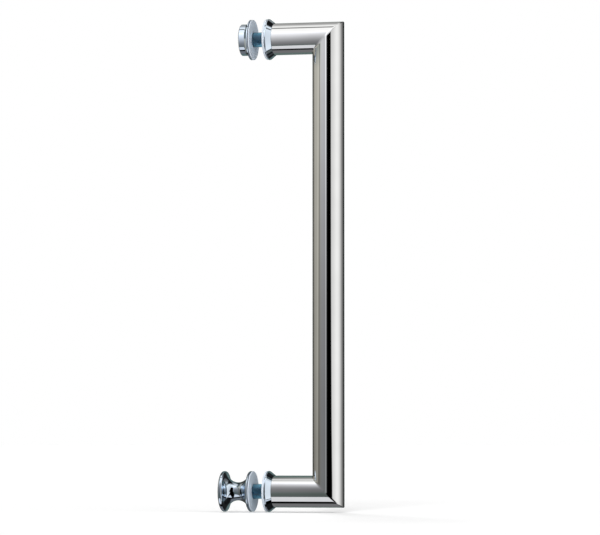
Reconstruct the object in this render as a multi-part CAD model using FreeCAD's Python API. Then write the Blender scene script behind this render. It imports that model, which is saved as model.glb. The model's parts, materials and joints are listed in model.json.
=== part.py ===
import FreeCAD, Part
import math
import os

os.makedirs("parts", exist_ok=True)

V = FreeCAD.Vector

# Driving dimensions, in millimetres.
# Frame: X = 0 is the outer face of the glass, +X points out of the door to the grip,
# Z runs up the grip and Z = 0 is midway between the two posts.
TUBE_OD = 19.0
TUBE_WALL = 1.5
GRIP_LENGTH = 270.0
GRIP_OFFSET = 38.05

GLASS_THICKNESS = 8.0
FRONT_GASKET_THICKNESS = 1.25
BACK_GASKET_THICKNESS = 1.0

# The knob overhangs the tube by this much all round; the other fittings follow it.
FITTING_OVERHANG = 2.6
GASKET_INSET = 0.05
CAP_INSET = 0.05
COLLAR_PROUD = 0.15
EDGE_BREAK = 0.2

STUD_OD = 6.0
STUD_CHAMFER = 0.5
THREAD_RUNOUT = 0.5
DRILL_TIP_ANGLE = 118.0

SLEEVE_CLEARANCE = 0.1
SLEEVE_WALL = 1.3
GASKET_CLEARANCE = 0.1

INSERT_LENGTH = 16.0
INSERT_SPARE_THREAD = 4.0
INSERT_CHAMFER = 0.6

COLLAR_RIM = 0.75
COLLAR_CONE_LENGTH = 3.05
COLLAR_LIP = 0.25
COLLAR_CLEARANCE = 0.25
SEAT_DEPTH = 1.0
SEAT_CLEARANCE = 0.05

CAP_RIM = 0.8
CAP_LAND = 0.45
CAP_COVE_RADIUS = 2.2
CAP_HUB_LENGTH = 3.35
CAP_EDGE_RADIUS = 0.5
CAP_END_WALL = 2.0

KNOB_WAIST_RADIUS = 5.4
KNOB_COVE_RISE = 1.45
KNOB_RIM_RADIUS = 0.95
KNOB_RIM = 0.5
KNOB_HEAD_RIM = 1.67
KNOB_EDGE_RADIUS = 1.1
KNOB_ENGAGEMENT = 10.5

TUBE_R = TUBE_OD / 2
STUD_R = STUD_OD / 2
FITTING_R = TUBE_R + FITTING_OVERHANG
GASKET_R = FITTING_R - GASKET_INSET
CAP_R = FITTING_R - CAP_INSET
COLLAR_R = FITTING_R + COLLAR_PROUD
SLEEVE_BORE_R = STUD_R + SLEEVE_CLEARANCE
SLEEVE_R = SLEEVE_BORE_R + SLEEVE_WALL
GASKET_BORE_R = SLEEVE_R + GASKET_CLEARANCE
COLLAR_BORE_R = STUD_R + COLLAR_CLEARANCE
SEAT_R = TUBE_R + SEAT_CLEARANCE

UPPER_Z = GRIP_LENGTH / 2
LOWER_Z = -GRIP_LENGTH / 2
COLLAR_X = FRONT_GASKET_THICKNESS
COLLAR_END_X = COLLAR_X + COLLAR_RIM + COLLAR_CONE_LENGTH
SEAT_X = COLLAR_END_X - SEAT_DEPTH
INSERT_END_X = SEAT_X + INSERT_LENGTH
STUD_END_X = INSERT_END_X - INSERT_SPARE_THREAD
GLASS_BACK_X = -GLASS_THICKNESS
BACK_X = GLASS_BACK_X - BACK_GASKET_THICKNESS
CAP_END_X = BACK_X - CAP_RIM - CAP_COVE_RADIUS - CAP_HUB_LENGTH
CAP_HOLE_X = CAP_END_X + CAP_END_WALL
CAP_STUD_X = CAP_HOLE_X + THREAD_RUNOUT
KNOB_STUD_X = BACK_X - KNOB_ENGAGEMENT
KNOB_HOLE_X = KNOB_STUD_X - THREAD_RUNOUT


def turned(steps, z):
    """Solid turned about the stud axis at height z.

    A step is a corner (x, r), or an arc through a point to its end (via x, via r, x, r).
    """
    start = V(steps[0][0], steps[0][1], 0)
    last = start
    edges = []
    for step in steps[1:]:
        end = V(step[-2], step[-1], 0)
        if len(step) == 4:
            edges.append(Part.Arc(last, V(step[0], step[1], 0), end).toShape())
        else:
            edges.append(Part.makeLine(last, end))
        last = end
    edges.append(Part.makeLine(last, start))
    solid = Part.Face(Part.Wire(edges)).revolve(V(0, 0, 0), V(1, 0, 0), 360)
    solid.translate(V(0, 0, z))
    return solid


def on_arc(x, r, radius, degrees):
    """Point of an arc about (x, r), the angle counted from +x towards larger r."""
    angle = math.radians(degrees)
    return x + radius * math.cos(angle), r + radius * math.sin(angle)


def ring(bore, radius, x0, x1, z):
    """Plain ring between two planes."""
    return turned([(x0, bore), (x0, radius), (x1, radius), (x1, bore)], z)


def mitred_bar(radius):
    """Round bar that leaves one post end, turns square along the grip and comes back."""
    corners = [
        V(SEAT_X, 0, LOWER_Z),
        V(GRIP_OFFSET, 0, LOWER_Z),
        V(GRIP_OFFSET, 0, UPPER_Z),
        V(SEAT_X, 0, UPPER_Z),
    ]
    sweep = Part.BRepOffsetAPI.MakePipeShell(Part.makePolygon(corners))
    sweep.setTransitionMode(1)
    sweep.add(Part.Wire(Part.makeCircle(radius, corners[0], V(1, 0, 0))))
    sweep.build()
    sweep.makeSolid()
    return sweep.shape()


def collar(z):
    """Flared collar: thin rim, cone down to the tube, and a shallow seat for the tube's end."""
    steps = [
        (COLLAR_X, COLLAR_BORE_R),
        (COLLAR_X, COLLAR_R - EDGE_BREAK),
        (COLLAR_X + EDGE_BREAK, COLLAR_R),
        (COLLAR_X + COLLAR_RIM, COLLAR_R),
        (COLLAR_END_X, SEAT_R + COLLAR_LIP),
        (COLLAR_END_X, SEAT_R),
        (SEAT_X, SEAT_R),
        (SEAT_X, COLLAR_BORE_R),
    ]
    return turned(steps, z)


def insert(z):
    """Threaded slug fixed in a post's end, flush with it."""
    outer_r = TUBE_R - TUBE_WALL
    steps = [
        (SEAT_X, STUD_R),
        (SEAT_X, outer_r),
        (INSERT_END_X - INSERT_CHAMFER, outer_r),
        (INSERT_END_X, outer_r - INSERT_CHAMFER),
        (INSERT_END_X, STUD_R),
    ]
    return turned(steps, z)


def stud(x0, z):
    """Threaded rod with chamfered ends, from x0 into the post's insert."""
    steps = [
        (x0, 0),
        (x0, STUD_R - STUD_CHAMFER),
        (x0 + STUD_CHAMFER, STUD_R),
        (STUD_END_X - STUD_CHAMFER, STUD_R),
        (STUD_END_X, STUD_R - STUD_CHAMFER),
        (STUD_END_X, 0),
    ]
    return turned(steps, z)


def cap(z):
    """Flanged cap nut: flat flange, hollow cove down to a round hub, blind threaded hole."""
    rim = BACK_X - CAP_RIM
    shoulder_r = CAP_R - CAP_LAND
    hub = rim - CAP_COVE_RADIUS
    hub_r = shoulder_r - CAP_COVE_RADIUS
    edge = CAP_END_X + CAP_EDGE_RADIUS
    edge_r = hub_r - CAP_EDGE_RADIUS
    steps = [
        (BACK_X, STUD_R),
        (BACK_X, CAP_R - EDGE_BREAK),
        (BACK_X - EDGE_BREAK, CAP_R),
        (rim, CAP_R),
        (rim, shoulder_r),
        (*on_arc(hub, shoulder_r, CAP_COVE_RADIUS, -45), hub, hub_r),
        (edge, hub_r),
        (*on_arc(edge, edge_r, CAP_EDGE_RADIUS, 135), CAP_END_X, edge_r),
        (CAP_END_X, 0),
        (CAP_HOLE_X, 0),
        (CAP_HOLE_X, STUD_R),
    ]
    return turned(steps, z)


def knob(z):
    """Waisted knob: flange, round waist blended into rounded rims, flat head, blind hole."""
    round_r = FITTING_R - KNOB_RIM_RADIUS
    centre_r = round_r + KNOB_COVE_RISE
    cove = centre_r - KNOB_WAIST_RADIUS
    reach = cove + KNOB_RIM_RADIUS
    lean = math.degrees(math.asin(KNOB_COVE_RISE / reach))
    half = reach * math.cos(math.radians(lean))
    rim = BACK_X - KNOB_RIM
    waist = rim - half
    head = waist - half
    end = head - KNOB_HEAD_RIM
    edge = end + KNOB_EDGE_RADIUS
    edge_r = FITTING_R - KNOB_EDGE_RADIUS
    tip = KNOB_HOLE_X - STUD_R / math.tan(math.radians(DRILL_TIP_ANGLE / 2))
    rim_mid = on_arc(rim, round_r, KNOB_RIM_RADIUS, 135 - lean / 2)
    head_mid = on_arc(head, round_r, KNOB_RIM_RADIUS, 45 + lean / 2)
    steps = [
        (BACK_X, STUD_R),
        (BACK_X, FITTING_R - EDGE_BREAK),
        (BACK_X - EDGE_BREAK, FITTING_R),
        (rim, FITTING_R),
        (*rim_mid, *on_arc(rim, round_r, KNOB_RIM_RADIUS, 180 - lean)),
        (waist, KNOB_WAIST_RADIUS, *on_arc(head, round_r, KNOB_RIM_RADIUS, lean)),
        (*head_mid, head, FITTING_R),
        (edge, FITTING_R),
        (*on_arc(edge, edge_r, KNOB_EDGE_RADIUS, 135), end, edge_r),
        (end, 0),
        (tip, 0),
        (KNOB_HOLE_X, STUD_R),
    ]
    return turned(steps, z)


nodes = {
    "handle_tube": mitred_bar(TUBE_R).cut(mitred_bar(TUBE_R - TUBE_WALL)),
    "cap": cap(UPPER_Z),
    "knob": knob(LOWER_Z),
    "upper_stud": stud(CAP_STUD_X, UPPER_Z),
    "lower_stud": stud(KNOB_STUD_X, LOWER_Z),
}
for side, z in (("upper", UPPER_Z), ("lower", LOWER_Z)):
    nodes[side + "_insert"] = insert(z)
    nodes[side + "_collar"] = collar(z)
    nodes[side + "_front_gasket"] = ring(GASKET_BORE_R, GASKET_R, 0, COLLAR_X, z)
    nodes[side + "_sleeve"] = ring(SLEEVE_BORE_R, SLEEVE_R, BACK_X, COLLAR_X, z)
    nodes[side + "_back_gasket"] = ring(GASKET_BORE_R, GASKET_R, BACK_X, GLASS_BACK_X, z)

for name, shape in nodes.items():
    shape.exportStep("parts/" + name + ".step")
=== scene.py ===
import json
import math

import bpy
from mathutils import Euler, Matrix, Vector

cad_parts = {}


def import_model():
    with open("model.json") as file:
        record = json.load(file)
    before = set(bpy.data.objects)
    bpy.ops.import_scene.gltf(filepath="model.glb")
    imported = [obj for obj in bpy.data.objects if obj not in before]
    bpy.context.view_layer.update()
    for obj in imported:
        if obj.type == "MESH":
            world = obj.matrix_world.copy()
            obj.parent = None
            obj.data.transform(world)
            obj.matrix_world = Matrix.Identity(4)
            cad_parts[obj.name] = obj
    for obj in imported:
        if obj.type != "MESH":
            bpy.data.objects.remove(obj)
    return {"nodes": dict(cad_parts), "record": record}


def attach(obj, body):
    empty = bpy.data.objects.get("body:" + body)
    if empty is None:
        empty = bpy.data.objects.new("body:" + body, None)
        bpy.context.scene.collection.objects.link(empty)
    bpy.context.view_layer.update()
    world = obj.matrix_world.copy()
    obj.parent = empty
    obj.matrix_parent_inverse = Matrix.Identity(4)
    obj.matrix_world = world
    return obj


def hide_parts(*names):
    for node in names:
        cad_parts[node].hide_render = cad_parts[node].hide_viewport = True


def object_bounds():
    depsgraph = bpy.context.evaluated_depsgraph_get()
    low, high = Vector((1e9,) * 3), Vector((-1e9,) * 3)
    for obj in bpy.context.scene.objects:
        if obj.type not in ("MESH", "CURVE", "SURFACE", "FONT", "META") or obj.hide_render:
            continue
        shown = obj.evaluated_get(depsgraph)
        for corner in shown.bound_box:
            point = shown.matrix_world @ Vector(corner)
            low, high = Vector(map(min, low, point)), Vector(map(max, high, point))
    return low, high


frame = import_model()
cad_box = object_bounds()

MM = 0.001

# Sizes of the handle in millimetres, as in the solids to a hundredth of a millimetre.
# x = 0 is the outer face of the glass, and the post axes lie at z = POST_Z and -POST_Z.
TUBE_R = 9.5
TUBE_BORE_R = 8.0
GRIP_X = 38.05
POST_Z = 135.0

FRONT_X = 1.25
GLASS_BACK_X = -8.0
BACK_X = -9.0
GASKET_R = 12.05
GASKET_BORE_R = 4.5
SLEEVE_R = 4.4
SLEEVE_BORE_R = 3.1

COLLAR_R = 12.25
COLLAR_BORE_R = 3.25
COLLAR_RIM = 0.75
COLLAR_CONE_LENGTH = 3.05
LIP_R = 9.8
SEAT_R = 9.55
SEAT_DEPTH = 1.0

CAP_R = 12.05
CAP_RIM = 0.8
CAP_SHOULDER_R = 11.6
CAP_COVE_R = 2.2
CAP_HUB_LENGTH = 3.35
CAP_EDGE_R = 0.5
CAP_END_WALL = 2.0

KNOB_R = 12.1
KNOB_RIM = 0.5
KNOB_RIM_R = 0.95
KNOB_WAIST_R = 5.4
KNOB_COVE_RISE = 1.45
KNOB_HEAD_RIM = 1.67
KNOB_EDGE_R = 1.1
KNOB_HOLE_DEPTH = 11.0
KNOB_HOLE_TIP = 1.8

STUD_R = 3.0
STUD_CHAMFER = 0.5
STUD_REACH = 12.0
THREAD_RUNOUT = 0.5

# Places that follow from these sizes.
COLLAR_RIM_X = FRONT_X + COLLAR_RIM
COLLAR_END_X = COLLAR_RIM_X + COLLAR_CONE_LENGTH
SEAT_X = COLLAR_END_X - SEAT_DEPTH
CAP_RIM_X = BACK_X - CAP_RIM
CAP_END_X = CAP_RIM_X - CAP_COVE_R - CAP_HUB_LENGTH
CAP_HOLE_X = CAP_END_X + CAP_END_WALL
KNOB_RIM_X = BACK_X - KNOB_RIM
KNOB_HOLE_X = BACK_X - KNOB_HOLE_DEPTH
STUD_END_X = SEAT_X + STUD_REACH

# Fine forms that only this scene has, in millimetres.
MITRE_ROUND = 0.35
MITRE_BLEND = 0.8
COLLAR_BACK_EDGE = 0.2
COLLAR_EDGE = 1.2
LIP_PROUD = 0.04
LIP_EDGE = 0.06
LIP_GAP = 0.55
CAP_FLANGE_EDGE = 0.3
CAP_RIM_EDGE = 0.15
KNOB_FLANGE_EDGE = 0.5
GASKET_EDGE = 0.2
GASKET_RELIEF = 0.4
GASKET_LAND_R = 9.0
SLEEVE_EDGE = 0.1
CLEAR_GAP = 0.02
THREAD_PITCH = 1.0
THREAD_DEPTH = 0.61

# Flank of the thread: its slope, in depths per pitch, and the share of a depth cut off as a crest.
THREAD_STEEPNESS = 2.6
THREAD_CREST = 0.15

# Fineness of the meshes: steps round a piece, along an arc or a thread, and stations of the tube,
# which lie close together near its corners. Two points closer than SAME_POINT are one.
AROUND = 144
ARC_STEPS = 10
SAME_POINT = 1e-5
POINT_DIGITS = 6
CORNER_STEPS = 14
CORNER_STATIONS = (12.0, 6.0, 3.0, 1.5, 0.6)
END_STATION = 0.3
GRIP_STATIONS = 5
THREAD_AROUND = 40
THREAD_STEPS = 10
SHARP_ANGLE = math.radians(40)


def new_mesh(name, verts, faces):
    """Mesh from points and faces."""
    mesh = bpy.data.meshes.new(name)
    mesh.from_pydata(verts, [], faces)
    return mesh


def new_object(name, data):
    """New object, linked into the scene."""
    obj = bpy.data.objects.new(name, data)
    bpy.context.scene.collection.objects.link(obj)
    return obj


# Turned pieces

def arc_points(centre, start, end, steps):
    """Points from start to end, the short way round a centre."""
    a0 = math.atan2(start[1] - centre[1], start[0] - centre[0])
    a1 = math.atan2(end[1] - centre[1], end[0] - centre[0])
    turn = (a1 - a0 + math.pi) % (2 * math.pi) - math.pi
    radius = math.hypot(start[0] - centre[0], start[1] - centre[1])
    angles = [a0 + turn * i / steps for i in range(steps + 1)]
    return [(centre[0] + radius * math.cos(a), centre[1] + radius * math.sin(a)) for a in angles]


def heading(start, end):
    """Unit direction from one point of a profile to another."""
    length = math.dist(start, end)
    return (end[0] - start[0]) / length, (end[1] - start[1]) / length


def along(start, direction, distance):
    """Point at a distance from another in a direction."""
    return start[0] + direction[0] * distance, start[1] + direction[1] * distance


def fillet(before, corner, after, radius):
    """Tangent points and centre of a rounding between two straight lines."""
    u, v = heading(corner, before), heading(corner, after)
    half = math.acos(u[0] * v[0] + u[1] * v[1]) / 2
    middle = heading((0.0, 0.0), (u[0] + v[0], u[1] + v[1]))
    tangent = radius / math.tan(half)
    centre = along(corner, middle, radius / math.sin(half))
    return along(corner, u, tangent), centre, along(corner, v, tangent)


def profile_path(steps):
    """Lines and arcs of a closed profile in the (x, r) plane, each as (centre, end).

    A step is a corner (x, r), a rounded corner (x, r, radius) or an arc (cx, cr, x, r).
    A line has no centre.
    """
    path = []
    for i, step in enumerate(steps):
        if len(step) == 3:
            before = steps[i - 1][:2] if len(steps[i - 1]) == 3 else steps[i - 1][-2:]
            after = steps[(i + 1) % len(steps)][:2]
            start, centre, end = fillet(before, step[:2], after, step[2])
            path += [(None, start), (centre, end)]
        elif len(step) == 4:
            path.append((step[:2], step[2:]))
        else:
            path.append((None, step))
    return path


def profile_runs(steps):
    """Smooth runs of a closed profile, each a list of (point, outward normal)."""
    path = profile_path(steps)
    ends = [end for centre, end in path]
    area = sum(x0 * r1 - x1 * r0 for (x0, r0), (x1, r1) in zip(ends, ends[1:] + ends[:1]))
    side = 1.0 if area > 0 else -1.0
    runs = []
    at = ends[-1]
    for centre, end in path:
        if math.dist(at, end) < SAME_POINT:
            continue
        if centre is None:
            step_x, step_r = heading(at, end)
            normal = (side * step_r, -side * step_x)
            runs.append([(at, normal), (end, normal)])
        else:
            points = [at] + arc_points(centre, at, end, ARC_STEPS)[1:-1] + [end]
            step_x, step_r = points[1][0] - at[0], points[1][1] - at[1]
            outward = side * (step_r * (at[0] - centre[0]) - step_x * (at[1] - centre[1]))
            radius = math.copysign(math.dist(at, centre), outward)
            runs.append([
                (p, ((p[0] - centre[0]) / radius, (p[1] - centre[1]) / radius)) for p in points
            ])
        at = end
    return runs


def lathe(name, steps, z):
    """Mesh turned about the stud axis at height z, with exact normals and crisp edges."""
    rings = {}
    verts, faces, normals = [], [], []
    angles = [2 * math.pi * j / AROUND for j in range(AROUND)]

    def ring(point):
        """Numbers of the vertices round a profile point, all the same on the axis."""
        x, r = point
        key = (round(x, POINT_DIGITS), round(r, POINT_DIGITS))
        if key not in rings:
            first = len(verts)
            if key[1] == 0:
                verts.append((x * MM, 0.0, z * MM))
                rings[key] = [first] * AROUND
            else:
                for a in angles:
                    verts.append((x * MM, r * math.sin(a) * MM, (z + r * math.cos(a)) * MM))
                rings[key] = list(range(first, first + AROUND))
        return rings[key]

    def spun(normal, j):
        """Normal of the profile, turned to one of the angles."""
        a = angles[j]
        return (normal[0], normal[1] * math.sin(a), normal[1] * math.cos(a))

    for run in profile_runs(steps):
        for (p0, n0), (p1, n1) in zip(run, run[1:]):
            if p0[1] == 0 and p1[1] == 0:
                continue
            ring0, ring1 = ring(p0), ring(p1)
            for j in range(AROUND):
                k = (j + 1) % AROUND
                loops = [(ring0[j], n0, j), (ring1[j], n1, j), (ring1[k], n1, k), (ring0[k], n0, k)]
                if ring0[j] == ring0[k]:
                    loops.pop(3)
                elif ring1[j] == ring1[k]:
                    loops.pop(2)
                first, second, third = (Vector(verts[loop[0]]) for loop in loops[:3])
                facing = (second - first).cross(third - first)
                if facing.dot(Vector(spun(n0, j)) + Vector(spun(n1, k))) < 0:
                    loops.reverse()
                faces.append([loop[0] for loop in loops])
                normals.extend(spun(loop[1], loop[2]) for loop in loops)
    mesh = new_mesh(name, verts, faces)
    mesh.shade_smooth()
    mesh.normals_split_custom_set(normals)
    return new_object(name, mesh)


def washer_steps(x0, x1, bore, radius, edge):
    """Flat ring with rounded edges."""
    return [(x0, bore), (x0, radius, edge), (x1, radius, edge), (x1, bore)]


def back_gasket_steps():
    """Flat ring whose outer part stands a little off the flange behind it."""
    seat_x = BACK_X + CLEAR_GAP
    rim_x = BACK_X + GASKET_RELIEF
    return [
        (seat_x, GASKET_BORE_R),
        (seat_x, GASKET_LAND_R),
        (rim_x, GASKET_LAND_R),
        (rim_x, GASKET_R, GASKET_EDGE),
        (GLASS_BACK_X, GASKET_R, GASKET_EDGE),
        (GLASS_BACK_X, GASKET_BORE_R),
    ]


def collar_steps():
    """Thin rim, cone down to the tube with a fine open lip, seat for the tube's end."""
    return [
        (FRONT_X, COLLAR_BORE_R),
        (FRONT_X, COLLAR_R, COLLAR_BACK_EDGE),
        (COLLAR_RIM_X, COLLAR_R, COLLAR_EDGE),
        (COLLAR_END_X, LIP_R + LIP_PROUD, LIP_EDGE),
        (COLLAR_END_X, LIP_R - LIP_EDGE),
        (COLLAR_END_X - LIP_GAP, SEAT_R),
        (SEAT_X, SEAT_R),
        (SEAT_X, COLLAR_BORE_R),
    ]


def cap_steps():
    """Flange, hollow cove and round hub, with a blind hole for the stud."""
    cove_x = CAP_RIM_X - CAP_COVE_R
    hub_r = CAP_SHOULDER_R - CAP_COVE_R
    return [
        (BACK_X, STUD_R),
        (BACK_X, CAP_R, CAP_FLANGE_EDGE),
        (CAP_RIM_X, CAP_R, CAP_RIM_EDGE),
        (CAP_RIM_X, CAP_SHOULDER_R),
        (cove_x, CAP_SHOULDER_R, cove_x, hub_r),
        (CAP_END_X, hub_r, CAP_EDGE_R),
        (CAP_END_X, 0.0),
        (CAP_HOLE_X, 0.0),
        (CAP_HOLE_X, STUD_R),
    ]


def knob_steps():
    """Flange and head with rounded rims, joined by a deep round waist."""
    round_r = KNOB_R - KNOB_RIM_R
    centre_r = round_r + KNOB_COVE_RISE
    reach = centre_r - KNOB_WAIST_R + KNOB_RIM_R
    half = math.sqrt(reach ** 2 - KNOB_COVE_RISE ** 2)
    waist_x = KNOB_RIM_X - half
    head_x = waist_x - half
    end_x = head_x - KNOB_HEAD_RIM
    blend_x = KNOB_RIM_R * half / reach
    blend_r = round_r + KNOB_RIM_R * KNOB_COVE_RISE / reach
    return [
        (BACK_X, STUD_R),
        (BACK_X, KNOB_R, KNOB_FLANGE_EDGE),
        (KNOB_RIM_X, KNOB_R),
        (KNOB_RIM_X, round_r, KNOB_RIM_X - blend_x, blend_r),
        (waist_x, centre_r, waist_x, KNOB_WAIST_R),
        (waist_x, centre_r, head_x + blend_x, blend_r),
        (head_x, round_r, head_x, KNOB_R),
        (end_x, KNOB_R, KNOB_EDGE_R),
        (end_x, 0.0),
        (KNOB_HOLE_X - KNOB_HOLE_TIP, 0.0),
        (KNOB_HOLE_X, STUD_R),
    ]


# Tube and studs

def grid_mesh(name, rows, closed_ends):
    """Mesh from rows of points, each a closed loop: capped at both ends, or joined end to end."""
    around = len(rows[0])
    verts = [p for row in rows for p in row]
    faces = []
    last = len(rows) - 1
    for i in range(last if closed_ends else len(rows)):
        a, b = i * around, ((i + 1) % len(rows)) * around
        for j in range(around):
            k = (j + 1) % around
            faces.append((a + j, a + k, b + k, b + j))
    if closed_ends:
        faces.append(list(range(around))[::-1])
        faces.append([last * around + j for j in range(around)])
    mesh = new_mesh(name, verts, faces)
    mesh.shade_smooth()
    mesh.set_sharp_from_angle(angle=SHARP_ANGLE)
    return new_object(name, mesh)


def corner_line(u, softening):
    """Stations of one strand of the tube, in the plane of the handle, from post end to post end."""
    x_in = GRIP_X + u - softening
    z_in = POST_Z + u - softening
    half = [(SEAT_X, POST_Z + u), (SEAT_X + END_STATION, POST_Z + u)]
    half += [(x_in - d, POST_Z + u) for d in CORNER_STATIONS]
    for i in range(CORNER_STEPS + 1):
        a = math.pi / 2 * (1 - i / CORNER_STEPS)
        half.append((x_in + softening * math.cos(a), z_in + softening * math.sin(a)))
    half += [(GRIP_X + u, z_in - d) for d in reversed(CORNER_STATIONS)]
    half += [(GRIP_X + u, z_in * (1 - i / GRIP_STATIONS)) for i in range(1, GRIP_STATIONS)]
    mirrored = [(x, -z) for x, z in reversed(half)]
    return half + [(GRIP_X + u, 0.0)] + mirrored


def tube_rows(radius):
    """Rows of the tube's surface, from the upper post's end to the lower one's."""
    strands = []
    for j in range(AROUND):
        a = 2 * math.pi * j / AROUND
        y = radius * math.sin(a)
        softening = MITRE_ROUND + MITRE_BLEND * math.sin(a) ** 2
        line = corner_line(radius * math.cos(a), softening)
        strands.append([(x * MM, y * MM, z * MM) for x, z in line])
    return [list(row) for row in zip(*strands)]


def tube(name):
    """Hollow tube: outer wall one way, bore back the other way, joined at both ends."""
    return grid_mesh(name, tube_rows(TUBE_R) + tube_rows(TUBE_BORE_R)[::-1], False)


def threaded_rod(name, x0, x1, z):
    """Rod with a real helical thread and chamfered ends."""
    steps = round((x1 - x0) / THREAD_PITCH * THREAD_STEPS)
    rows = []
    for i in range(steps + 1):
        x = x0 + (x1 - x0) * i / steps
        limit = STUD_R - STUD_CHAMFER + min(x - x0, x1 - x, STUD_CHAMFER)
        row = []
        for j in range(THREAD_AROUND):
            a = 2 * math.pi * j / THREAD_AROUND
            phase = (x / THREAD_PITCH + j / THREAD_AROUND) % 1.0
            flank = min(1.0, max(0.0, abs(phase - 0.5) * THREAD_STEEPNESS - THREAD_CREST))
            r = min(limit, STUD_R - THREAD_DEPTH * flank)
            row.append((x * MM, r * math.sin(a) * MM, (z + r * math.cos(a)) * MM))
        rows.append(row)
    return grid_mesh(name, rows, True)


# Materials

# Noises as (scale per metre, detail). The middle of a noise's range is spread over the range asked.
METAL_CLOUD = (60.0, 4.0)
METAL_GRAIN = (240.0, 5.0)
PLASTIC_CLOUD = (140.0, 3.0)
PLASTIC_GRAIN = (500.0, 3.0)
WAVE_DETAIL = 2.0
NOISE_LOW = 0.3
NOISE_HIGH = 0.7

# Waviness as (noise scale per metre, strength, height in metres).
PLASTIC_WAVE = (700.0, 0.05, 0.0002)
PLASTIC_IOR = 1.49

# Each look has its two ends of colour and of roughness. Through is the share of light that passes.
METALS = {
    "tube_chrome": {
        "colours": ((0.82, 0.82, 0.81), (0.87, 0.87, 0.86)),
        "rough": (0.015, 0.04),
        "wave": (25.0, 0.012, 0.001),
    },
    "fitting_chrome": {
        "colours": ((0.70, 0.80, 0.90), (0.76, 0.85, 0.95)),
        "rough": (0.01, 0.03),
        "wave": (40.0, 0.01, 0.001),
    },
    "insert_brass": {
        "colours": ((0.62, 0.46, 0.20), (0.74, 0.57, 0.28)),
        "rough": (0.22, 0.38),
        "wave": (400.0, 0.2, 0.0003),
    },
    "stud_steel": {
        "colours": ((0.32, 0.34, 0.38), (0.42, 0.44, 0.48)),
        "rough": (0.18, 0.34),
        "wave": (500.0, 0.15, 0.0002),
    },
}
PLASTICS = {
    "gasket_clear": {
        "colours": ((0.80, 0.88, 0.98), (0.84, 0.91, 1.0)),
        "rough": (0.14, 0.20),
        "through": 0.08,
    },
    "sleeve_clear": {
        "colours": ((0.14, 0.42, 0.58), (0.18, 0.46, 0.62)),
        "rough": (0.26, 0.32),
        "through": 0.95,
    },
}


class Nodes:
    """Shorthand for building one material's node tree."""

    def __init__(self, name):
        self.material = bpy.data.materials.new(name)
        self.material.use_nodes = True
        self.tree = self.material.node_tree
        self.shader = self.tree.nodes["Principled BSDF"]

    def add(self, kind, values):
        node = self.tree.nodes.new(kind)
        for key, value in values.items():
            node.inputs[key].default_value = value
        return node

    def link(self, output, target):
        self.tree.links.new(output, target)

    def noise(self, scale, detail):
        """Noise in the object's own coordinates."""
        where = self.tree.nodes.new("ShaderNodeTexCoord")
        noise = self.add("ShaderNodeTexNoise", {"Scale": scale, "Detail": detail})
        self.link(where.outputs["Object"], noise.inputs["Vector"])
        return noise.outputs["Fac"]

    def spread(self, value, ends, socket):
        """Maps a noise to a range and feeds it to a socket of the shader."""
        node = self.add("ShaderNodeMapRange", {
            "From Min": NOISE_LOW, "From Max": NOISE_HIGH, "To Min": ends[0], "To Max": ends[1],
        })
        self.link(value, node.inputs["Value"])
        self.link(node.outputs["Result"], self.shader.inputs[socket])

    def tint(self, value, colours, socket):
        """Mixes two colours by a noise and feeds them to a socket of the shader."""
        node = self.tree.nodes.new("ShaderNodeValToRGB")
        ramp = node.color_ramp.elements
        for element, position, colour in zip(ramp, (NOISE_LOW, NOISE_HIGH), colours):
            element.position = position
            element.color = (*colour, 1)
        self.link(value, node.inputs["Fac"])
        self.link(node.outputs["Color"], self.shader.inputs[socket])

    def bump(self, scale, strength, distance):
        """Slight waviness of the surface."""
        node = self.add("ShaderNodeBump", {"Strength": strength, "Distance": distance})
        self.link(self.noise(scale, WAVE_DETAIL), node.inputs["Height"])
        self.link(node.outputs["Normal"], self.shader.inputs["Normal"])


def metal(name, colours, rough, wave):
    """Plated or machined metal: cloudy roughness, faint colour drift, slight waviness."""
    nodes = Nodes(name)
    nodes.shader.inputs["Metallic"].default_value = 1.0
    nodes.tint(nodes.noise(*METAL_CLOUD), colours, "Base Color")
    nodes.spread(nodes.noise(*METAL_GRAIN), rough, "Roughness")
    nodes.bump(*wave)
    return nodes.material


def clear_plastic(name, colours, rough, through):
    """Clear plastic with a faint tint and a slightly cloudy surface."""
    nodes = Nodes(name)
    nodes.shader.inputs["Transmission Weight"].default_value = through
    nodes.shader.inputs["IOR"].default_value = PLASTIC_IOR
    nodes.tint(nodes.noise(*PLASTIC_CLOUD), colours, "Base Color")
    nodes.spread(nodes.noise(*PLASTIC_GRAIN), rough, "Roughness")
    nodes.bump(*PLASTIC_WAVE)
    return nodes.material


materials = {name: metal(name, **look) for name, look in METALS.items()}
materials.update({name: clear_plastic(name, **look) for name, look in PLASTICS.items()})


# Pieces in the frame

def dress(obj, slot):
    """Gives an object the material of a slot."""
    obj.data.materials.clear()
    obj.data.materials.append(materials[slot])


def place(obj, slot, node):
    """Puts a finished piece in the frame in place of its solid."""
    dress(obj, slot)
    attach(obj, "root")
    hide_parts(node)


for part in frame["record"]["subparts"]:
    dress(frame["nodes"][part["node"]], part["material_slot"])

front_end_x = FRONT_X - CLEAR_GAP
front_gasket = washer_steps(0.0, front_end_x, GASKET_BORE_R, GASKET_R, GASKET_EDGE)
sleeve = washer_steps(BACK_X + CLEAR_GAP, front_end_x, SLEEVE_BORE_R, SLEEVE_R, SLEEVE_EDGE)

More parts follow.
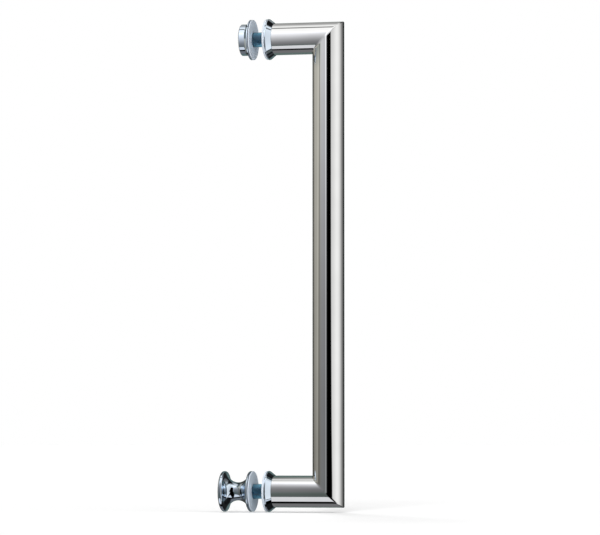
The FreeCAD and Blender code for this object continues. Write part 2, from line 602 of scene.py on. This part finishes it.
place(tube("tube_mitred"), "tube_chrome", "handle_tube")
place(lathe("cap_turned", cap_steps(), POST_Z), "fitting_chrome", "cap")
place(lathe("knob_turned", knob_steps(), -POST_Z), "fitting_chrome", "knob")
for side, z, hole_x in (("upper", POST_Z, CAP_HOLE_X), ("lower", -POST_Z, KNOB_HOLE_X)):
    place(lathe(side + "_collar_turned", collar_steps(), z), "fitting_chrome", side + "_collar")
    front = lathe(side + "_front_gasket_clear", front_gasket, z)
    place(front, "gasket_clear", side + "_front_gasket")
    back = lathe(side + "_back_gasket_clear", back_gasket_steps(), z)
    place(back, "gasket_clear", side + "_back_gasket")
    place(lathe(side + "_sleeve_clear", sleeve, z), "sleeve_clear", side + "_sleeve")
    stud = threaded_rod(side + "_stud_threaded", hole_x + THREAD_RUNOUT, STUD_END_X, z)
    place(stud, "stud_steel", side + "_stud")


# Camera, in metres, with the lens and sensor in millimetres

CAMERA_AT = (0.59265, -2.1742, -0.1052)
CAMERA_YAW = math.radians(14.742)
CAMERA_PITCH = math.radians(2.634)
CAMERA_LENS = 226.75
CAMERA_SENSOR = 36.0
CAMERA_CLIP = 0.01


def camera():
    """Camera at the photograph's viewing angle."""
    data = bpy.data.cameras.new("camera")
    data.lens = CAMERA_LENS
    data.sensor_width = CAMERA_SENSOR
    data.clip_start = CAMERA_CLIP
    obj = new_object("camera", data)
    obj.location = CAMERA_AT
    obj.rotation_euler = Euler((math.pi / 2 + CAMERA_PITCH, 0.0, CAMERA_YAW))
    bpy.context.scene.camera = obj


# Light tent

# A drum with a wide foot, round the grip. Its paint is given by angles in degrees round from the
# camera, positive to its right, and by places in metres. A BAND is the start and end of a smooth
# step, a PEAK is the middle and width of a bell, and levels and shares of light have no unit.

TENT_RADIUS = 0.31
TENT_TOP = 0.45
TENT_FLARE = -0.25
TENT_BOTTOM = -0.70
TENT_BOTTOM_RADIUS = 0.75
TENT_AROUND = 360
TENT_RINGS = 48
TENT_ROWS = 60

NEUTRAL = (1.0, 1.0, 1.0)
WARM = (1.03, 1.0, 0.90)
COOL = (0.98, 0.99, 1.04)
TEAL = (0.86, 1.03, 1.0)
REAR = (0.13, 0.18, 0.17)
REAR_TOP = (0.36, 0.36, 0.35)
REAR_BAND = (152, 164)
REAR_TOP_BAND = (0.24, 0.38)

# The dark opening in front of the camera. Its right edge runs outwards below the middle, more so
# below a knee, and inwards above it. The whole opening moves to the left at its foot.
OPENING_LEFT = -13.5
OPENING_LEFT_SOFTNESS = 3.5
OPENING_RIGHT = 18.5
OPENING_RIGHT_SOFTNESS = 3.0
OPENING_SLOPE_BELOW = 40.0
OPENING_SLOPE_ABOVE = 10.0
OPENING_KNEE = 0.09
OPENING_KNEE_SLOPE = 60.0
OPENING_FOOT_BAND = (0.14, 0.18)
OPENING_FOOT_LEFT = 9.0
OPENING_FOOT_RIGHT = 14.0
OPENING_TOP_BAND = (0.175, 0.205)

# The bright wall to the right.
RIGHT_LEVEL = 0.72
RIGHT_GLOW = 0.28
RIGHT_GLOW_PEAK = (62, 26)
RIGHT_FADE = 0.8
RIGHT_FADE_BAND = (78, 126)
RIGHT_ENDS_SHADE = 0.95
RIGHT_ENDS_BAND = (66, 90)
RIGHT_ENDS_HEIGHT_BAND = (0.16, 0.26)
RIGHT_BACK_LEVEL = 0.015
RIGHT_BACK_BAND = (128, 138)

# The dimmer wall to the left: a front part that gets brighter upwards, with a bright and a dark
# stripe, and a side part with a leaning seam and a shaded top.
FRONT_LEVEL = 0.18
FRONT_RISE = 0.165
FRONT_RISE_HEIGHT = 0.055
FRONT_FOOT_SHADE = 0.3
FRONT_FOOT_BAND = (0.12, 0.25)
BRIGHT_STRIPE = 0.75
BRIGHT_STRIPE_PEAK = (-20.5, 3.2)
DARK_STRIPE = 0.15
DARK_STRIPE_PEAK = (-29, 3)
SIDE_LEVEL = 0.37
SIDE_RISE = 0.9
SIDE_RISE_LIMIT = 0.2
SIDE_BAND = (60, 66)
SEAM_ANGLE = 76
SEAM_LEAN = 40
SEAM_SOFTNESS = 2
SEAM_GLOW = 0.28
SEAM_GLOW_OFFSET = 8
SEAM_GLOW_WIDTH = 6
BEFORE_SEAM = 0.58
LEFT_BACK_LEVEL = 0.04
LEFT_BACK_BAND = (108, 150)
LEFT_TOP_SHADE = 0.75
LEFT_TOP_BAND = (50, 70)
LEFT_TOP_HEIGHT_BAND = (0.145, 0.175)
WARM_BAND = (45, 75)
TEAL_FOOT_BAND = (0.10, 0.22)

# The ceiling, with a dark slot in front of the handle and a dark corner behind it to the right.
CEILING_LEVEL = 1.15
CEILING_FADE = 0.75
CEILING_FADE_BAND = (-0.04, 0.18)
CEILING_SLOT = 0.92
CEILING_SLOT_PEAK = (-0.060, 0.030)
CEILING_CORNER = 0.98
CEILING_CORNER_X_BAND = (0.03, 0.12)
CEILING_CORNER_Y_BAND = (0.0, 0.07)

# The bottom, which stands in for the floor in reflections, with a painted shadow of the handle as a
# dark band under it, and a dark corner to the right. The opening runs down into it.
BOTTOM_LEVEL = 0.80
BOTTOM_FADE = 0.62
BOTTOM_FADE_BAND = (-0.10, 0.04)
BOTTOM_SHADOW_FRONT_BAND = (-0.17, -0.12)
BOTTOM_SHADOW_BACK_BAND = (0.02, 0.08)
BOTTOM_CORNER = 0.95
BOTTOM_CORNER_X_BAND = (0.12, 0.25)
BOTTOM_CORNER_Y_BAND = (-0.1, 0.05)
BOTTOM_OPENING_BAND = (0.06, 0.12)


def smooth(value, low, high):
    """Smooth step from 0 at low to 1 at high."""
    t = min(1.0, max(0.0, (value - low) / (high - low)))
    return t * t * (3 - 2 * t)


def bell(value, middle, width):
    """Bell curve with its top, 1, at the middle."""
    return math.exp(-((value - middle) / width) ** 2)


def blend(a, b, t):
    """Colour between two others."""
    return [x + (y - x) * t for x, y in zip(a, b)]


def opening(angle, z):
    """How far the tent's dark opening in front of the camera covers a direction."""
    foot = smooth(-z, *OPENING_FOOT_BAND)
    left = OPENING_LEFT - OPENING_FOOT_LEFT * foot
    right = OPENING_RIGHT + OPENING_SLOPE_BELOW * max(0.0, -z) - OPENING_SLOPE_ABOVE * max(0.0, z)
    right += OPENING_KNEE_SLOPE * max(0.0, -z - OPENING_KNEE)
    right -= OPENING_FOOT_RIGHT * foot
    past_left = smooth(angle, left - OPENING_LEFT_SOFTNESS, left + OPENING_LEFT_SOFTNESS)
    past_right = smooth(angle, right - OPENING_RIGHT_SOFTNESS, right + OPENING_RIGHT_SOFTNESS)
    return past_left * (1 - past_right) * (1 - smooth(z, *OPENING_TOP_BAND))


def right_wall(angle, z):
    """Level of the wall to the right of the camera."""
    light = RIGHT_LEVEL + RIGHT_GLOW * bell(angle, *RIGHT_GLOW_PEAK)
    light *= 1 - RIGHT_FADE * smooth(angle, *RIGHT_FADE_BAND)
    ends = smooth(angle, *RIGHT_ENDS_BAND) * smooth(abs(z), *RIGHT_ENDS_HEIGHT_BAND)
    light *= 1 - RIGHT_ENDS_SHADE * ends
    return light + (RIGHT_BACK_LEVEL - light) * smooth(angle, *RIGHT_BACK_BAND)


def left_wall(angle, z):
    """Level and tint of the wall to the left of the camera, where the angle is negative."""
    front = FRONT_LEVEL + FRONT_RISE * math.log1p(math.exp(z / FRONT_RISE_HEIGHT))
    front *= 1 - FRONT_FOOT_SHADE * smooth(-z, *FRONT_FOOT_BAND)
    bright = BRIGHT_STRIPE * bell(angle, *BRIGHT_STRIPE_PEAK)
    front *= 1 + bright - DARK_STRIPE * bell(angle, *DARK_STRIPE_PEAK)
    seam = SEAM_ANGLE - SEAM_LEAN * z
    side = SIDE_LEVEL + SIDE_RISE * min(SIDE_RISE_LIMIT, max(-SIDE_RISE_LIMIT, z))
    side *= 1 + SEAM_GLOW * bell(-angle, seam + SEAM_GLOW_OFFSET, SEAM_GLOW_WIDTH)
    past_seam = smooth(-angle, seam - SEAM_SOFTNESS, seam + SEAM_SOFTNESS)
    side *= BEFORE_SEAM + (1 - BEFORE_SEAM) * past_seam
    light = front + (side - front) * smooth(-angle, *SIDE_BAND)
    light += (LEFT_BACK_LEVEL - light) * smooth(-angle, *LEFT_BACK_BAND)
    high = smooth(z, *LEFT_TOP_HEIGHT_BAND) * smooth(-angle, *LEFT_TOP_BAND)
    light *= 1 - LEFT_TOP_SHADE * high
    warmth = smooth(-angle, *WARM_BAND)
    tint = blend(COOL, WARM, warmth)
    tint = blend(tint, TEAL, smooth(-z, *TEAL_FOOT_BAND) * (1 - warmth))
    return light, blend(tint, TEAL, high)


def wall_light(angle, z):
    """Light of the tent's wall."""
    light, tint = (right_wall(angle, z), NEUTRAL) if angle > 0 else left_wall(angle, z)
    light *= 1 - opening(angle, z)
    rear = blend(REAR, REAR_TOP, smooth(z, *REAR_TOP_BAND))
    return blend([light * c for c in tint], rear, smooth(abs(angle), *REAR_BAND))


def ceiling_light(x, y):
    """Light of the tent's ceiling."""
    light = CEILING_LEVEL - CEILING_FADE * smooth(y, *CEILING_FADE_BAND)
    light *= 1 - CEILING_SLOT * bell(y, *CEILING_SLOT_PEAK)
    corner = smooth(x, *CEILING_CORNER_X_BAND) * smooth(y, *CEILING_CORNER_Y_BAND)
    light *= 1 - CEILING_CORNER * corner
    return [light * c for c in NEUTRAL]


def bottom_light(x, y, angle, radius):
    """Light of the tent's bottom."""
    light = BOTTOM_LEVEL - BOTTOM_FADE * smooth(y, *BOTTOM_FADE_BAND)
    # Painted shadow of the handle on the floor, seen in reflections: a dark band across the bottom
    # under it.
    light *= 1 - smooth(y, *BOTTOM_SHADOW_FRONT_BAND) * (1 - smooth(y, *BOTTOM_SHADOW_BACK_BAND))
    corner = smooth(x, *BOTTOM_CORNER_X_BAND) * smooth(y, *BOTTOM_CORNER_Y_BAND)
    light *= 1 - BOTTOM_CORNER * corner
    light *= 1 - opening(angle, TENT_FLARE) * smooth(radius, *BOTTOM_OPENING_BAND)
    return [light * c for c in COOL]


def tent_stations():
    """Radius and height of the tent's rings, from the middle of its bottom to that of its ceiling."""
    shares = [i / TENT_RINGS for i in range(1, TENT_RINGS + 1)]
    narrowing = TENT_BOTTOM_RADIUS - TENT_RADIUS
    rise = TENT_FLARE - TENT_BOTTOM
    height = TENT_TOP - TENT_FLARE
    stations = [(TENT_BOTTOM_RADIUS * t, TENT_BOTTOM) for t in shares]
    stations += [(TENT_BOTTOM_RADIUS - narrowing * t, TENT_BOTTOM + rise * t) for t in shares]
    stations += [(TENT_RADIUS, TENT_FLARE + height * i / TENT_ROWS) for i in range(1, TENT_ROWS)]
    return stations + [(TENT_RADIUS * t, TENT_TOP) for t in reversed(shares)]


def tent_cloth():
    """Glow with the light that is stored at each point of the tent."""
    cloth = bpy.data.materials.new("tent_cloth")
    cloth.use_nodes = True
    tree = cloth.node_tree
    tree.nodes.clear()
    paint = tree.nodes.new("ShaderNodeAttribute")
    paint.attribute_name = "light"
    glow = tree.nodes.new("ShaderNodeEmission")
    out = tree.nodes.new("ShaderNodeOutputMaterial")
    tree.links.new(paint.outputs["Color"], glow.inputs["Color"])
    tree.links.new(glow.outputs["Emission"], out.inputs["Surface"])
    cloth.cycles.emission_sampling = "NONE"
    return cloth


def tent():
    """Light tent round the object, seen only in reflections."""
    stations = tent_stations()
    facing = math.atan2(CAMERA_AT[0] - GRIP_X * MM, -CAMERA_AT[1])
    verts, lights = [], []
    for radius, z in stations:
        for j in range(TENT_AROUND):
            angle = j * 360 / TENT_AROUND - 180
            a = math.radians(angle) + facing
            x = GRIP_X * MM + radius * math.sin(a)
            y = -radius * math.cos(a)
            verts.append((x, y, z))
            if z == TENT_BOTTOM:
                light = bottom_light(x, y, angle, radius)
            elif z == TENT_TOP:
                light = ceiling_light(x, y)
            else:
                light = wall_light(angle, z)
            lights.extend((*light, 1.0))
    last = (len(stations) - 1) * TENT_AROUND
    faces = []
    for a in range(0, last, TENT_AROUND):
        b = a + TENT_AROUND
        for j in range(TENT_AROUND):
            k = (j + 1) % TENT_AROUND
            faces.append((a + j, a + k, b + k, b + j))
    faces.append(list(range(TENT_AROUND)))
    faces.append([last + j for j in range(TENT_AROUND)])
    mesh = new_mesh("tent", verts, faces)
    mesh.attributes.new("light", "FLOAT_COLOR", "POINT").data.foreach_set("color", lights)
    mesh.materials.append(tent_cloth())
    obj = new_object("tent", mesh)
    obj.visible_camera = False
    obj.visible_diffuse = False
    obj.visible_transmission = False
    obj.visible_volume_scatter = False
    obj.visible_shadow = False


# Floor, background and lamps

WHITE = (1, 1, 1, 1)
FLOOR_DROP = 0.0002
FLOOR_REACH = 40.0
FLOOR_COLOUR = (0.9, 0.9, 0.9, 1)
FLOOR_ROUGHNESS = 0.9
FLOOR_LIFT = 0.23
SKY_LIGHT = 0.08

# Azimuth from -y towards +x, elevation and spread in degrees.
LAMPS = {
    "key_lamp": {"azimuth": 50, "elevation": 40, "spread": 60, "strength": 1.5},
    "front_lamp": {"azimuth": 9, "elevation": 34, "spread": 14, "strength": 1.25},
    "back_lamp": {"azimuth": 206, "elevation": 48, "spread": 14, "strength": 0.7},
    "top_lamp": {"azimuth": -80, "elevation": 76, "spread": 44, "strength": 0.3},
}


def seen_directly(tree):
    """Socket that is 1 where the background is looked at, also in metal or through glass."""
    path = tree.nodes.new("ShaderNodeLightPath")
    either = path.outputs["Is Camera Ray"]
    for kind in ("Is Glossy Ray", "Is Transmission Ray"):
        node = tree.nodes.new("ShaderNodeMath")
        node.operation = "MAXIMUM"
        tree.links.new(either, node.inputs[0])
        tree.links.new(path.outputs[kind], node.inputs[1])
        either = node.outputs["Value"]
    return either


def floor():
    """Pale floor that keeps the shadow and fades into the white background.

    Reflections don't see it, because the tent's bottom stands in for it there.
    """
    pale = Nodes("floor_pale")
    pale.shader.inputs["Base Color"].default_value = FLOOR_COLOUR
    pale.shader.inputs["Roughness"].default_value = FLOOR_ROUGHNESS
    pale.shader.inputs["Specular IOR Level"].default_value = 0.0
    pale.shader.inputs["Emission Color"].default_value = WHITE
    lift = pale.add("ShaderNodeMath", {1: FLOOR_LIFT})
    lift.operation = "MULTIPLY"
    pale.link(seen_directly(pale.tree), lift.inputs[0])
    pale.link(lift.outputs["Value"], pale.shader.inputs["Emission Strength"])
    floor_z = cad_box[0].z - FLOOR_DROP
    signs = ((-1, -1), (1, -1), (1, 1), (-1, 1))
    corners = [(x * FLOOR_REACH, y * FLOOR_REACH, floor_z) for x, y in signs]
    mesh = new_mesh("floor", corners, [(0, 1, 2, 3)])
    mesh.materials.append(pale.material)
    obj = new_object("floor", mesh)
    obj.visible_glossy = False


def world():
    """White all round, dimmer as a light than as a background."""
    sky = bpy.data.worlds.new("studio")
    sky.use_nodes = True
    tree = sky.node_tree
    back = tree.nodes["Background"]
    back.inputs["Color"].default_value = WHITE
    level = tree.nodes.new("ShaderNodeMapRange")
    level.inputs["To Min"].default_value = SKY_LIGHT
    level.inputs["To Max"].default_value = 1.0
    tree.links.new(seen_directly(tree), level.inputs["Value"])
    tree.links.new(level.outputs["Result"], back.inputs["Strength"])
    bpy.context.scene.world = sky


def lamp(name, azimuth, elevation, spread, strength):
    """Soft lamp far away, so that the whole floor gets the same light."""
    data = bpy.data.lights.new(name, "SUN")
    data.angle = math.radians(spread)
    data.energy = strength
    obj = new_object(name, data)
    obj.rotation_euler = Euler((math.radians(90 - elevation), 0.0, math.radians(azimuth)))
    obj.visible_glossy = False
    obj.visible_transmission = False


camera()
tent()
floor()
world()
for lamp_name, setting in LAMPS.items():
    lamp(lamp_name, **setting)
bpy.context.scene.view_settings.view_transform = "Standard"
